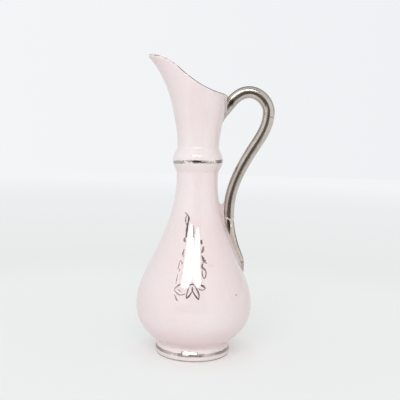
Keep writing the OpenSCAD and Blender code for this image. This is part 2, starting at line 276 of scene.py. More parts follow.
def piece(name, node, slot, material, points, faces, sharp=50):
    """A smooth mesh that stands for a CAD node."""
    mesh = bpy.data.meshes.new(name)
    mesh.from_pydata([p * MM for p in points], [], faces)
    shape = bmesh.new()
    shape.from_mesh(mesh)
    bmesh.ops.remove_doubles(shape, verts=shape.verts, dist=weld * MM)
    bmesh.ops.recalc_face_normals(shape, faces=shape.faces)
    shape.to_mesh(mesh)
    shape.free()
    mesh.shade_smooth()
    mesh.set_sharp_from_angle(angle=math.radians(sharp))
    mesh.materials.append(material)
    made = bpy.data.objects.new(name, mesh)
    bpy.context.collection.objects.link(made)
    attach(made, "root")
    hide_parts(node)


def revolve(profile, n=180):
    """Points and faces of a profile of radius and height turned round the jug's axis."""
    points = [polar(r, a, z) for r, z in profile for a in turns(n)]
    return points, ring_faces(len(profile), n)


# Materials

def add(tree, kind, inputs=None, **settings):
    """A node, with values or links for its inputs by name or number."""
    node = tree.nodes.new(kind)
    for key, value in settings.items():
        setattr(node, key, value)
    for key, value in (inputs or {}).items():
        if isinstance(value, bpy.types.NodeSocket):
            tree.links.new(value, node.inputs[key])
        else:
            node.inputs[key].default_value = value
    return node


def ramp(tree, factor, stops):
    """A colour ramp through stops of place and colour."""
    node = add(tree, "ShaderNodeValToRGB", {"Fac": factor})
    line = node.color_ramp.elements
    stops = list(stops)
    while len(line) < len(stops):
        line.new(1)
    for element, (place, colour) in zip(line, stops):
        element.position = place
        element.color = (*colour, 1)
    return node.outputs["Color"]


def blend(tree, factor, a, b):
    """One colour turned into another."""
    node = add(tree, "ShaderNodeMix", {0: factor}, data_type="RGBA")
    for number, value in ((6, a), (7, b)):
        if isinstance(value, bpy.types.NodeSocket):
            tree.links.new(value, node.inputs[number])
        else:
            node.inputs[number].default_value = (*value, 1)
    return node.outputs[2]


def spread(tree, value, lo, hi, to_lo=0.0, to_hi=1.0):
    """A value carried from one range to another, held at the ends."""
    node = add(tree, "ShaderNodeMapRange", {0: value, 1: lo, 2: hi, 3: to_lo, 4: to_hi})
    return node.outputs[0]


def maths(tree, operation, a, b=0.5):
    return add(tree, "ShaderNodeMath", {0: a, 1: b}, operation=operation).outputs[0]


def texture(tree, where, scale, detail=2.0, rough=0.5):
    return add(tree, "ShaderNodeTexNoise",
               {"Vector": where, "Scale": scale, "Detail": detail, "Roughness": rough}).outputs["Fac"]


def shader(name):
    """An empty material with its tree, its place on the object and its shader."""
    material = bpy.data.materials.new(name)
    material.use_nodes = True
    tree = material.node_tree
    tree.nodes.clear()
    where = add(tree, "ShaderNodeTexCoord").outputs["Object"]
    bsdf = add(tree, "ShaderNodeBsdfPrincipled")
    add(tree, "ShaderNodeOutputMaterial", {"Surface": bsdf.outputs[0]})
    return material, tree, where, bsdf


def axis(tree, where, name):
    """One coordinate of a place."""
    return add(tree, "ShaderNodeSeparateXYZ", {0: where}).outputs[name]


# Colours of the glaze and the slip
pink_pale = (0.842, 0.768, 0.772)
pink_deep = (0.830, 0.712, 0.717)
# The deeper pink is partly pooled glaze and partly painted shade
pink_pool_shade = (0.800, 0.635, 0.645)
speck_brown = (0.36, 0.28, 0.25)
smudge_grey = (0.45, 0.38, 0.40)
# Bare clay at the foot's edge, darkened further as a painted contact shadow
bare_clay_and_contact_shadow = (0.25, 0.19, 0.18)
# Grey of lustre and painted shade under the handle's root, and of painted shade on the slip in the crotch and beside
# the tail
root_lustre_and_shade_grey = (0.36, 0.30, 0.31)
slip_shade_grey = (0.60, 0.50, 0.47)

# Colours of the lustre
platinum_light = (0.66, 0.615, 0.56)
platinum_dark = (0.50, 0.45, 0.40)
stroke_light = (0.46, 0.38, 0.385)
# Dark lustre of the thin strokes, and also the colour of dark reflections painted on the lustre
stroke_and_reflection_dark = (0.27, 0.21, 0.215)
# Dark strokes on the tail, the one below the ridge a painted dark reflection
tail_stroke_light = (0.27, 0.21, 0.195)
tail_stroke_dark = (0.16, 0.12, 0.11)
# Dark of flaws in the lustre and of dark reflections painted on it
flaw_and_reflection_dark = (0.08, 0.065, 0.06)
wiped_light = (0.64, 0.565, 0.51)
wiped_dark = (0.50, 0.44, 0.38)
wiped_low = (0.46, 0.39, 0.40)
# Painted highlight along the tail's ridge
ridge_highlight_pale = (0.74, 0.68, 0.65)
glint_pale = (0.92, 0.90, 0.89)
end_dark = (0.1, 0.08, 0.08)

# Marks on the surfaces, each with its middle, its radii and its strength; the marks at the handle's root and on the
# sprig's stem are painted dark reflections, and the glint on the tail is a painted highlight
glaze_flaw = ((21.7, -20.2, 36.2), (0.75, 0.75, 0.75), 0.75)
glaze_smudge = ((8.4, -21.7, 51.2), (2.4, 1.6, 0.9), 0.16)
nick = ((38.4, -2.6, 128.05), (1.3, 1.8, 0.3), 0.8)
root_dark_reflection = ((16.7, -2.8, 135.2), (2, 3, 2.6), 0.85)
tail_glint = ((18.7, -2.6, 69.7), (0.75, 1.5, 1), 1)
tail_end = ((25.4, -1.3, 50.1), (1.3, 1.9, 0.5), 0.7)
stem_shade = ((4.2, -21.5, 56), (2.6, 3, 5), 0.6)

# Heights over which the glaze deepens in pink, partly as pooled glaze and partly as painted shade, from none to most,
# and over which it ends again, and how rich it gets
cove_pool_shade, cove_pool_shade_end, cove_pool_shade_rich = (22, 10.5), (5.5, 10.5), 0.7
throat_pool_shade, throat_pool_shade_end, throat_pool_shade_rich = (84, 96), (105, 100), 0.18
lip_pool_shade, lip_pool_shade_rich = (132, 158), 0.45

# Pin specks in the glaze, by their number, their size and their strength
speck_scale, speck_size, speck_strength = 90, (0.012, 0.026), 0.4

# The foot's bare edge, darkened also as a painted contact shadow, and the sides of the slip, where its painted shade
# fades, as heights and as distances from the middle
bare_edge_and_contact_shadow = (0.65, 1.05)
slip_shade_fade = (2.6, 5.6)

# The ridge on the tail where the lustre was wiped, with its slope and the edge of the highlight painted along it, and
# the grey lower end
ridge_x, ridge_z, ridge_slope = 18.7, 72.8, 0.45
ridge_highlight_edge = (-0.2, 0.15)
grey_end = (49.6, 51.2)

# Range of a cloudy texture that is used, and of the tones of the lustre
cloudy = (0.3, 0.7)
tones = (0.35, 0.62)


def metres(lengths):
    return [length * MM for length in lengths]


def mark(tree, where, place, radii, strength):
    """A soft-edged spot on the surface, with its middle and radii in millimetres, fading from half way out."""
    off = add(tree, "ShaderNodeVectorMath", {0: where, 1: Vector(place) * MM}, operation="SUBTRACT").outputs[0]
    share = add(tree, "ShaderNodeVectorMath", {0: off, 1: Vector(radii) * MM}, operation="DIVIDE").outputs[0]
    far = add(tree, "ShaderNodeVectorMath", {0: share}, operation="LENGTH").outputs["Value"]
    return spread(tree, far, 0.5, 1, strength, 0)


def glaze_colour(tree, where):
    """Finely mottled, drifting pink with pin specks, deeper in the cove, under the bead and at the lip, partly as
    pooled glaze and partly as painted shade.
    """
    drift = texture(tree, where, scale=22)
    mottle = texture(tree, where, scale=700, detail=3)
    tone = maths(tree, "ADD", maths(tree, "MULTIPLY", drift, 0.8), maths(tree, "MULTIPLY", mottle, 0.2))
    pink = ramp(tree, tone, [(0.35, pink_deep), (0.6, pink_pale)])
    cells = add(tree, "ShaderNodeTexVoronoi", {"Vector": where, "Scale": speck_scale}).outputs["Distance"]
    speck = spread(tree, cells, *speck_size, speck_strength, 0)
    up = axis(tree, where, "Z")
    # Deeper pink in the cove, under the bead and at the lip: partly pooled glaze, partly painted shade
    cove = maths(tree, "MULTIPLY", spread(tree, up, *metres(cove_pool_shade), 0, cove_pool_shade_rich),
                 spread(tree, up, *metres(cove_pool_shade_end)))
    throat = maths(tree, "MULTIPLY", spread(tree, up, *metres(throat_pool_shade), 0, throat_pool_shade_rich),
                   spread(tree, up, *metres(throat_pool_shade_end)))
    lip = spread(tree, up, *metres(lip_pool_shade), 0, lip_pool_shade_rich)
    pool_and_shade = maths(tree, "MAXIMUM", cove, maths(tree, "MAXIMUM", throat, lip))
    pooled_and_shaded = blend(tree, pool_and_shade, pink, pink_pool_shade)
    specked = blend(tree, speck, pooled_and_shaded, speck_brown)
    dark_mark = mark(tree, where, *glaze_flaw)
    smudge = mark(tree, where, *glaze_smudge)
    return blend(tree, smudge, blend(tree, dark_mark, specked, speck_brown), smudge_grey)


def porcelain(name, tint=None, least=0.0, fade=None, foot=False, rough=(0.03, 0.06)):
    """Pink porcelain under a clear, wavy glaze, greyed if it has a tint, by painted shade and at the handle's root
    also by lustre, and at a foot's edge bare and darkened by a painted contact shadow.
    """
    material, tree, where, bsdf = shader(name)
    colour = glaze_colour(tree, where)
    if tint:
        # The tint is painted shade, with lustre at the handle's root, and fades towards the sides where a fade is
        # given
        share = spread(tree, texture(tree, where, scale=400), 0.2, 0.8, least, 1)
        if fade:
            side = maths(tree, "ABSOLUTE", axis(tree, where, "Y"))
            share = maths(tree, "MULTIPLY", share, spread(tree, side, *metres(fade), 1, 0))
        colour = blend(tree, share, colour, tint)
    if foot:
        # The foot's lowest edge is darkened, partly as bare clay and partly as a painted contact shadow
        uneven = maths(tree, "MULTIPLY", texture(tree, where, scale=300), 0.3 * MM)
        bare_and_shadow = spread(tree, maths(tree, "ADD", axis(tree, where, "Z"), uneven), *metres(bare_edge_and_contact_shadow), 0.75, 0)
        colour = blend(tree, bare_and_shadow, colour, bare_clay_and_contact_shadow)
    wave = texture(tree, where, scale=60, detail=1)
    bump = add(tree, "ShaderNodeBump", {"Height": wave, "Strength": 0.03, "Distance": 0.6 * MM})
    tree.links.new(colour, bsdf.inputs["Base Color"])
    gloss = spread(tree, texture(tree, where, scale=35, detail=3), *cloudy, *rough)
    tree.links.new(gloss, bsdf.inputs["Roughness"])
    tree.links.new(bump.outputs[0], bsdf.inputs["Normal"])
    bsdf.inputs["IOR"].default_value = 1.55
    return material


def paint_tone(tree, where):
    """Clouds and fine streaks in the lustre."""
    cloud = texture(tree, where, scale=130, detail=4)
    fine = texture(tree, where, scale=900)
    return maths(tree, "ADD", maths(tree, "MULTIPLY", cloud, 0.7), maths(tree, "MULTIPLY", fine, 0.3))


def brushwork(tree, where, half, stops):
    """How far the paint is worn, and how strong a painted dark reflection lies on it, by stops across the front of
    the jug.
    """
    across = axis(tree, where, "X")
    place = spread(tree, across, -half * MM, half * MM)
    line = ramp(tree, place, [(stop, (wear, painted_reflection, 0)) for stop, wear, painted_reflection in stops])
    parts = add(tree, "ShaderNodeSeparateColor", {0: line})
    return parts.outputs[0], parts.outputs[1]


def finish(tree, bsdf, tone, colour, rough, uneven=0.02):
    """Colour, roughness and a fine unevenness for a lustre."""
    tree.links.new(colour, bsdf.inputs["Base Color"])
    tree.links.new(spread(tree, tone, *cloudy, *rough), bsdf.inputs["Roughness"])
    bump = add(tree, "ShaderNodeBump", {"Height": tone, "Strength": uneven, "Distance": 0.1 * MM})
    tree.links.new(bump.outputs[0], bsdf.inputs["Normal"])


def platinum(name, wear, dark=platinum_dark, light=platinum_light, rough=(0.13, 0.07), uneven=0.02,
             most=1.0, half=0, stops=None, dark_marks=()):
    """Hand-painted platinum lustre, streaked and worn through to the pink in places, darkened by painted reflections
    where stops are given and by dark marks, some of them painted reflections.
    """
    material, tree, where, bsdf = shader(name)
    tone = paint_tone(tree, where)
    metal = ramp(tree, tone, zip(tones, (dark, light)))
    if stops:
        wear, painted_reflection = brushwork(tree, where, half, stops)
        # Painted dark reflection, set by the stops
        metal = blend(tree, painted_reflection, metal, stroke_and_reflection_dark)
    # Dark marks: a nick, and painted dark reflections
    for dark_mark in dark_marks:
        metal = blend(tree, mark(tree, where, *dark_mark), metal, flaw_and_reflection_dark)
    thin = texture(tree, where, scale=380, detail=5, rough=0.6)
    covered = spread(tree, maths(tree, "SUBTRACT", thin, wear), 0, 0.08)
    tree.links.new(maths(tree, "MULTIPLY", covered, most), bsdf.inputs["Metallic"])
    finish(tree, bsdf, tone, blend(tree, covered, glaze_colour(tree, where), metal), rough, uneven)
    return material


def wiped_lustre(name):
    """Lustre wiped so thin that the pink shows through, with a painted highlight along the ridge at its top, a
    painted glint, and a grey lower end.
    """
    material, tree, where, bsdf = shader(name)
    tone = paint_tone(tree, where)
    beige = ramp(tree, tone, zip(tones, (wiped_dark, wiped_light)))
    up, across = axis(tree, where, "Z"), axis(tree, where, "X")
    low = spread(tree, up, *metres(grey_end), 1, 0)
    colour = blend(tree, low, beige, wiped_low)
    off = maths(tree, "ABSOLUTE", maths(tree, "SUBTRACT", across, ridge_x * MM))
    ridge_line = maths(tree, "ADD", maths(tree, "MULTIPLY", off, ridge_slope), ridge_z * MM)
    # Painted highlight along the ridge
    ridge = spread(tree, maths(tree, "SUBTRACT", up, ridge_line), *metres(ridge_highlight_edge))
    colour = blend(tree, ridge, colour, ridge_highlight_pale)
    # Painted glint
    colour = blend(tree, mark(tree, where, *tail_glint), colour, glint_pale)
    colour = blend(tree, mark(tree, where, *tail_end), colour, end_dark)
    bsdf.inputs["Metallic"].default_value = 0.3
    finish(tree, bsdf, tone, colour, (0.3, 0.2))
    return material


glaze = porcelain("pink_glaze")
foot_glaze = porcelain("foot_glaze", foot=True)
root_slip = porcelain("root_slip", tint=root_lustre_and_shade_grey, least=0.3)
slip = porcelain("slip_glaze", tint=slip_shade_grey, least=0.5, fade=slip_shade_fade, rough=(0.25, 0.4))
handle_lustre = platinum("handle_lustre", wear=0.1, rough=(0.2, 0.18), uneven=0.005, dark_marks=[nick, root_dark_reflection])
tail_lustre = wiped_lustre("tail_lustre")
tail_dark_strokes = platinum("tail_dark_strokes", wear=0.2, dark=tail_stroke_dark, light=tail_stroke_light, rough=(0.2, 0.13))
stroke_lustre = platinum("stroke_lustre", wear=0.25, dark=stroke_and_reflection_dark, light=stroke_light, rough=(0.06, 0.045),
                         most=0.7, dark_marks=[stem_shade])

# Stops across the front, each with its place, how far the paint is worn there and how strong the painted dark
# reflection is
neck_lustre = platinum("neck_lustre", wear=0, half=13.4, stops=[
    (0, 0.38, 0.4), (0.2, 0.4, 0.4), (0.26, 0.43, 0.2), (0.43, 0.42, 0.2),
    (0.48, 0.32, 0.15), (0.585, 0.32, 0.15), (0.64, 0.42, 0), (0.78, 0.43, 0),
    (0.85, 0.38, 0.3), (0.9, 0.25, 0.8), (1, 0.25, 0.8)])
foot_lustre = platinum("foot_lustre", wear=0, most=0.8, half=20, stops=[
    (0, 0.15, 0.9), (0.08, 0.2, 0.75), (0.15, 0.34, 0.35), (0.22, 0.45, 0.1),
    (0.3, 0.5, 0), (0.33, 0.25, 0.6), (0.375, 0.25, 0.5), (0.39, 0.25, 0),
    (0.585, 0.25, 0), (0.6, 0.25, 0.6), (0.64, 0.3, 0.5), (0.67, 0.44, 0),
    (0.73, 0.36, 0.15), (0.8, 0.28, 0.4), (0.87, 0.22, 0.6), (1, 0.2, 0.8)])
rim_lustre = platinum("rim_lustre", wear=0, half=30, stops=[
    (0, 0.54, 0), (0.28, 0.49, 0), (0.38, 0.42, 0.2), (0.43, 0.25, 0.7),
    (0.52, 0.2, 1), (0.6, 0.2, 0.8), (0.78, 0.2, 0.9), (1, 0.3, 0.5)])


# Clay pieces

def make_body():
    outer = (steps(foot_h, under_z, 18) + steps(under_z, belly_z, 36)[1:]
             + steps(belly_z, throat_z, 110)[1:] + steps(throat_z, neck_z, 60)[1:])
    inner = steps(neck_z, throat_z, 4) + steps(throat_z, belly_z, 44)[1:]
    bowl_n = 26
    bowl = [math.pi / 2 * i / bowl_n for i in range(1, bowl_n)]
    profile = ([(0, foot_h)] + [(body_r(z), z) for z in outer] + [(inner_r(z), z) for z in inner]
               + [((belly_r - wall) * math.cos(a) ** (2 / 3),
                   belly_z - (belly_z - floor_z) * math.sin(a) ** (2 / 3)) for a in bowl]
               + [(0, floor_z)])
    piece("glazed_body", "body", "pink_glaze", glaze, *revolve(profile))


def make_foot():
    recess_top = foot_r - foot_t
    recess_low = recess_top + recess_taper
    edge_n = 5
    quarter = [math.pi / 2 * i / edge_n for i in range(edge_n + 1)]
    rounding = [(foot_side(foot_edge) - foot_edge + foot_edge * math.sin(a), foot_edge * (1 - math.cos(a)))
                for a in quarter]
    side = [(foot_side(z), z) for z in steps(foot_edge, foot_h, 48)[1:]]
    profile = [(recess_low + foot_edge, 0)] + rounding + side + [(recess_top, foot_h), (recess_low, foot_edge)]
    points, _ = revolve(profile)
    piece("glazed_foot", "foot_ring", "pink_glaze", foot_glaze, points,
          ring_faces(len(profile), len(points) // len(profile), closed=True))


# Angles round the mouth, closer together at the lip
mouth_n = 180
crowding = math.radians(20)
mouth_angles = [a + crowding * math.sin(a) for a in turns(mouth_n)]


def outer_point(a, t):
    z = mix(neck_z, rim_z(a) - rim_t / 2, t)
    return polar(neck_r(a, z), a, z)


def inner_point(a, t):
    z = mix(neck_z, rim_z(a) - rim_t / 2, t)
    slope = neck_slope(a, z) * min(1, 4 * t)
    size = math.sqrt(1 + slope * slope)
    thick = mix(wall, rim_t, t)
    return polar(neck_r(a, z) - thick / size, a, z + thick * slope / size)


def lip_point(a, sweep, lift):
    """Point of the rounded rim, from its outer side over the crest, raised by a film."""
    z = rim_z(a) - rim_t / 2
    slope = neck_slope(a, z)
    out = Vector((1, -slope)).normalized()
    up = Vector((slope, 1)).normalized()
    middle = Vector((neck_r(a, z), z)) - out * rim_t / 2
    p = middle + (rim_t / 2 + lift) * (math.cos(sweep) * out + math.sin(sweep) * up)
    return polar(p.x, a, p.y)


def make_neck():
    rows, crest_n = 52, 12
    sweeps = [math.pi * i / crest_n for i in range(1, crest_n)]
    points = [outer_point(a, i / rows) for i in range(rows + 1) for a in mouth_angles]
    points += [lip_point(a, sweep, 0) for sweep in sweeps for a in mouth_angles]
    points += [inner_point(a, i / rows) for i in range(rows, -1, -1) for a in mouth_angles]
    rings = len(points) // mouth_n
    piece("glazed_neck", "neck_spout", "pink_glaze", glaze, points, ring_faces(rings, mouth_n, closed=True))


# Handle

root_sink = 5.5
tail_sink = 2.6
tail_lift = 1.4
root_z = back_z - root_drop
reach_z = back_z - reach_drop
grip_x = throat_r + grip_gap
grip_z = throat_z - grip_drop
tail_z = belly_z + tail_rise
dip_z = tail_z + tail_dip

# Stations of the handle's middle line, each with its place and its direction in degrees
handle_at = [
    (flare_r(root_z) - root_sink, root_z - arch_d * math.sin(math.radians(root_angle)) - root_sink, root_angle),
    (arch_x, back_z + arch_rise, 0),
    (handle_reach, reach_z, -90),
    (mix(grip_x, handle_reach, elbow_out), mix(grip_z, reach_z, elbow_up), elbow_angle),
    (grip_x, grip_z, -90),
    (body_r(dip_z) + tail_lift, dip_z, dip_angle),
    (body_r(tail_z) - tail_sink, tail_z, -90),
]
handle_end = len(handle_at) - 1

# Places along the spans, counted in stations
arch_s, reach_s, grip_s = 1, 2, 4


def span_curve(i):
    """Control points of one span of the handle's middle line."""
    a, b = handle_at[i], handle_at[i + 1]
    p, q = Vector(a[:2]), Vector(b[:2])
    reach = (q - p).length * span_pull
    leave = Vector((math.cos(math.radians(a[2])), math.sin(math.radians(a[2]))))
    arrive = Vector((math.cos(math.radians(b[2])), math.sin(math.radians(b[2]))))
    return p, p + reach * leave, q - reach * arrive, q


span_curves = [span_curve(i) for i in range(handle_end)]


def bezier(p, t):
    u = 1 - t
    return u ** 3 * p[0] + 3 * u * u * t * p[1] + 3 * u * t * t * p[2] + t ** 3 * p[3]


def bezier_way(p, t):
    u = 1 - t
    return (u * u * (p[1] - p[0]) + 2 * u * t * (p[2] - p[1]) + t * t * (p[3] - p[2])).normalized()


def along(s, tail):
    """Thickness along the spans, from the arch over the grip to the tail."""
    if s < grip_s:
        return mix(arch_d, grip_d, smooth((s - reach_s) / (grip_s - reach_s)))
    return mix(grip_d, tail, clamp01((s - grip_s) / tail_blend))


def rounded(part):
    """Sine or cosine for a section that is a little squarer than an oval."""
    return math.copysign(abs(part) ** squarer, part)


def handle_point(s, a, lift=0):
    """Point on the handle, by its place along the spans and its angle from the outer side."""
    i = min(handle_end - 1, int(s))
    middle = bezier(span_curves[i], s - i)
    way = bezier_way(span_curves[i], s - i)
    lift += pull_marks * waver(1.7 * s, math.cos(a), math.sin(a)) - handle_ease
    flat_sides = mix(flat_depth, 1, smooth((s - grip_s) / tail_blend))
    n = (along(s, tail_d) / 2 + lift) * rounded(math.cos(a))
    y = (along(s, tail_w) / 2 * flat_sides + lift) * rounded(math.sin(a))
    return Vector((middle.x - way.y * n, y, middle.y + way.x * n))


def clearance(s, a):
    """Distance of a point of the handle from the jug's skin."""
    p = handle_point(s, a)
    return math.hypot(p.x, p.y) - skin_r(p.z)


# Rounds of the searches for a place, each of which halves the range
halvings = 24


def meet(a, inside, outside, gap):
    """Place along the spans where one line of the handle stands a gap off the jug."""
    for _ in range(halvings):
        s = (inside + outside) / 2
        if clearance(s, a) > gap:
            outside = s
        else:
            inside = s
    return outside


handle_n = 48
handle_angles = turns(handle_n)
seam_at = grip_s + 0.1
seam_dip = 0.05


def seam_s(a):
    """Place along the spans of the ridge where the bright lustre ends, lower towards the outer side."""
    return seam_at + seam_dip * math.exp(-((math.cos(a) - 0.3) / 0.5) ** 2)


def capped(rings, n):
    """Faces of a closed tube of rings of n points."""
    return ring_faces(rings, n) + [tuple(range(n)), tuple(range((rings - 1) * n, rings * n))]


def make_handle():
    root_n, arm_n, seam_n = 40, 150, 14
    root = [meet(a, 0, arch_s, -sink) for a in handle_angles]
    points = [handle_point(mix(r, arch_s, i / root_n), a) for i in range(root_n) for r, a in zip(root, handle_angles)]
    points += [handle_point(s, a) for s in steps(arch_s, grip_s, arm_n) for a in handle_angles]
    points += [handle_point(mix(grip_s, seam_s(a), i / seam_n), a)
               for i in range(1, seam_n + 1) for a in handle_angles]
    piece("lustred_handle", "handle", "lustred_handle", handle_lustre, points,
          capped(len(points) // handle_n, handle_n))


def make_tail():
    """Lower end of the handle, from the ridge of its seam down to where it dies into the shoulder."""
    ridge_h, ridge_at, ridge_w, ridge_end = 0.2, 0.012, 0.009, 0.06
    tail = [meet(a, handle_end, grip_s, -sink) for a in handle_angles]
    points = []
    for t in steps(0, ridge_end, 12) + steps(ridge_end, 1, 84)[1:]:
        for a, end in zip(handle_angles, tail):
            rough = 1 + 0.6 * waver(3 * math.cos(a), 3 * math.sin(a), 9)
            ridge = ridge_h * rough * math.exp(-((t - ridge_at) / ridge_w) ** 2)
            points.append(handle_point(mix(seam_s(a), end, t), a, ridge))
    piece("handle_tail", "handle", "lustred_handle", tail_lustre, points,
          capped(len(points) // handle_n, handle_n))


def skin_point(y, z, lift):
    """Point on the jug's skin behind the handle, raised by a lift."""
    r = skin_r(z) + lift
    return Vector((math.sqrt(r * r - y * y), y, z))


def hollow(high, corner, low, count):
    """Points of a hollow curve of slip, from one edge towards the corner and out to the other edge."""
    return [(1 - t) ** 2 * high + 2 * t * (1 - t) * corner + t * t * low for t in steps(0, 1, count)]


def make_upper_slip():
    """Hollow fillet of slip round the underside of the handle's root."""
    rows, around = 64, 10
    wrap = math.radians(125)
    middle = sum(handle_point(meet(a, 0, arch_s, 0), a).z for a in (0, math.pi)) / 2
    span = (Vector(handle_at[1][:2]) - Vector(handle_at[0][:2])).length
    points = []
    for i in range(rows + 1):
        a = math.pi + wrap * (1 - 2 * i / rows)
        size = fillet * math.sin(math.pi * i / rows) ** 0.6 + 0.1
        s = meet(a, 0, arch_s, 0)
        corner = handle_point(s, a)
        high = handle_point(s + size / span, a, -feather)
        away = Vector((corner.y, corner.z - middle)).normalized() * size
        low = skin_point(corner.y + away.x, corner.z + away.y, -feather)
        face = hollow(high, corner, low, around)
        inside = [mix(low, high, t) - Vector((0.5, 0, 0)) for t in (0.35, 0.65)]
        points += face + inside
    piece("slip_under_root", "upper_luting", "slip", root_slip, points, capped(rows + 1, around + 3))


def shells(parts):
    """Points and faces of several closed tubes as one mesh."""
    points, faces = [], []
    for made, rings, n in parts:
        faces += [tuple(len(points) + k for k in face) for face in capped(rings, n)]
        points += made
    return points, faces


def web():
    """Rings of points of the slip in the crotch of the handle, with a rounded upper edge."""
    rows, across = 24, 12
    sag, foot_spread, top_share = 1.9, 0.6, 0.8
    low, high = (meet(math.pi, handle_end, grip_s - 1, gap) for gap in (-0.3, web_gap + 0.7))
    made = []
    for i in range(rows + 1):
        up = i / rows
        outer = handle_point(mix(low, high, up), math.pi)
        for side in (-1, 1):
            for j in range(across + 1):
                q = j / across if side < 0 else 1 - j / across
                z = outer.z - sag * up * 4 * q * (1 - q)
                half = web_w / 2 * (1 + foot_spread * (1 - q) ** 3) * mix(1, top_share, up)
                near = skin_point(side * half, z, -sink)
                made.append(Vector((mix(near.x, outer.x + sink, q), side * half, z)))
    return made, rows + 1, 2 * (across + 1)


def touch(s):
    """Angle from the outer side at which the tail meets the jug."""
    outside, inside = math.pi / 2, math.pi
    for _ in range(halvings):
        a = (outside + inside) / 2
        if clearance(s, a) > 0:
            outside = a
        else:
            inside = a
    return outside


def smear(side):
    """Rings of points of the slip that was smoothed down one side of the tail."""
    rows, around = 60, 10
    climb, width = 0.9, 4.2
    top = meet(math.pi, handle_end, grip_s, 0)
    end = meet(math.pi / 2, handle_end, grip_s, 0.1)
    made = []
    for i in range(rows + 1):
        s = mix(top, end, i / rows)
        fade = math.sin(math.pi * mix(0.04, 0.97, i / rows)) ** 0.5
        a = touch(s)
        corner = handle_point(s, side * a)
        high = handle_point(s, side * (a - climb * fade), -feather)
        low = skin_point(corner.y + side * width * fade, corner.z, -feather)
        made += hollow(high, corner, low, around)
        made.append(skin_point(corner.y * 0.8, corner.z, -1))
    return made, rows + 1, around + 2


def make_lower_slip():
    """Slip in the crotch of the handle and along both sides of its tail."""
    piece("slip_web", "lower_luting", "slip", slip, *shells([web(), smear(-1), smear(1)]))


# Half of a painted stroke's width and its lift, round its section
paint_section = [(-1, -0.006), (-0.94, 0.014), (0, 0.014), (0.94, 0.014), (1, -0.006), (0, -0.1)]


def tail_stroke(s_from, s_to, a_from, a_to, half):
    """Rings of points of a stroke painted along the tail, from one place and angle to another."""
    rows, clear = 40, 0.035
    made = []
    for i in range(rows + 1):
        t = i / rows
        wide = half * math.sin(math.pi * mix(0.12, 0.97, t)) ** 0.6
        s, a = mix(s_from, s_to, t), mix(a_from, a_to, t)
        made += [handle_point(s, a + wide * q, lift + clear) for q, lift in paint_section]
    return made, rows + 1, len(paint_section)


def make_tail_strokes():
    """Dark strokes on the tail: a line of lustre along its outer edge, and below its ridge a painted dark reflection.
    """
    strokes = [tail_stroke(4.22, 5.1, -0.4, -0.45, 0.3), tail_stroke(4.15, 4.46, -1.75, -1.95, 0.36)]
    piece("tail_strokes", "handle", "lustred_handle", tail_dark_strokes, *shells(strokes), sharp=80)


# Lustre lines

def film_lift(t, thick):
    """Lift of a film across its width, with edges that sink into the glaze."""
    return thick * (1 - abs(2 * t - 1) ** 6) - film_edge


def make_band(name, node, material, limits, radius, uneven, spot=0, tilt=0):
    """Painted band with hand-drawn edges, which may have a spot where the brush was set down, or lie aslant."""
    n, rows, waves = 360, 16, 6
    brush_at, brush_half, brush_soft = 266.6, 14, 2
    spot_drop, spot_thick = 0.15, 0.03
    points = []
    for i in range(rows + 1):
        t = i / rows
        for a in turns(n):
            place = (waves * math.cos(a), waves * math.sin(a))
            blob = smooth((brush_half - abs(math.degrees(a) - brush_at)) / brush_soft)
            drift = tilt * math.cos(a) ** 3
            lo = limits[0] + drift + uneven * waver(*place, 1) - spot_drop * spot * blob
            hi = limits[1] + drift + uneven * waver(*place, 5) + spot * blob
            z = mix(lo, hi, t)
            thick = film + spot_thick * spot * blob * min(1, 1.8 * (1 - t))
            points.append(polar(radius(z) + film_lift(t, thick), a, z))
    for t in (0.8, 0.2):
        for a in turns(n):
            z = mix(*limits, t) + tilt * math.cos(a) ** 3
            points.append(polar(radius(z) - film_root, a, z))
    piece(name, node, "platinum_line", material, points, ring_faces(rows + 3, n, closed=True), sharp=80)


def make_rim_line():
    """Painted line over the crest of the rim, wider towards the handle."""
    rows, waves = 12, 5
    sweep_from, sweep_to, wider, uneven = 54, 126, 18, 12
    points = []
    for i in range(rows + 1):
        t = i / rows
        lift = film_lift(t, film)
        for a in mouth_angles:
            place = (waves * math.cos(a), waves * math.sin(a))
            lo = math.radians(sweep_from - wider * (1 - lipward(a)) + uneven * waver(*place, 2))
            hi = math.radians(sweep_to + uneven * waver(*place, 7))
            points.append(lip_point(a, mix(lo, hi, t), lift))
    points += [lip_point(a, math.radians(sweep), -0.15) for sweep in (100, 80) for a in mouth_angles]
    piece("rim_lustre", "rim_line", "platinum_line", rim_lustre, points,
          ring_faces(rows + 3, mouth_n, closed=True), sharp=80)


# Sprig

sprig_turn = math.radians(4)
flower_drop = 9.4
flower_z = shoulder_z - flower_drop


def front_point(p, lift):
    """Point on the front of the body, by its way along the surface from the sprig's middle line."""
    r = body_r(flower_z + p.y) + lift
    return polar(r, -math.pi / 2 - sprig_turn + p.x / r, flower_z + p.y)


def through(points, t):
    """Point of a smooth curve that passes through given points, and its direction."""
    last = len(points) - 2
    i = min(last, int(t * (last + 1)))
    u = t * (last + 1) - i
    p, q = points[i], points[i + 1]
    leave = (q - points[i - 1]) / 2 if i > 0 else (q - p)
    arrive = (points[i + 2] - p) / 2 if i < last else (q - p)
    h = u * u * (3 - 2 * u)
    place = p * (1 - h) + q * h + leave * u * (1 - u) ** 2 - arrive * u * u * (1 - u)
    way = (q - p) * 6 * u * (1 - u) + leave * (1 - u) * (1 - 3 * u) + arrive * u * (3 * u - 2)
    return place, way.normalized()


def stroke(width, *places):
    """Rings of points along a painted stroke, thin at both ends, and uneven as a brush leaves it."""
    rows = 10 * len(places)
    ink_spread, tip_share, unevenness = 0.64, 0.25, 0.35
    points = [Vector(p) for p in places]
    made = []
    for i in range(rows + 1):
        t = i / rows
        middle, way = through(points, t)
        across = Vector((-way.y, way.x))
        press = mix(tip_share, 1, math.sin(math.pi * t) ** 0.6)
        half = ink_spread * width * press * (1 + unevenness * waver(middle.x, middle.y, 3))
        made += [front_point(middle + across * half * q, lift) for q, lift in paint_section]
    return made, rows + 1, len(paint_section)


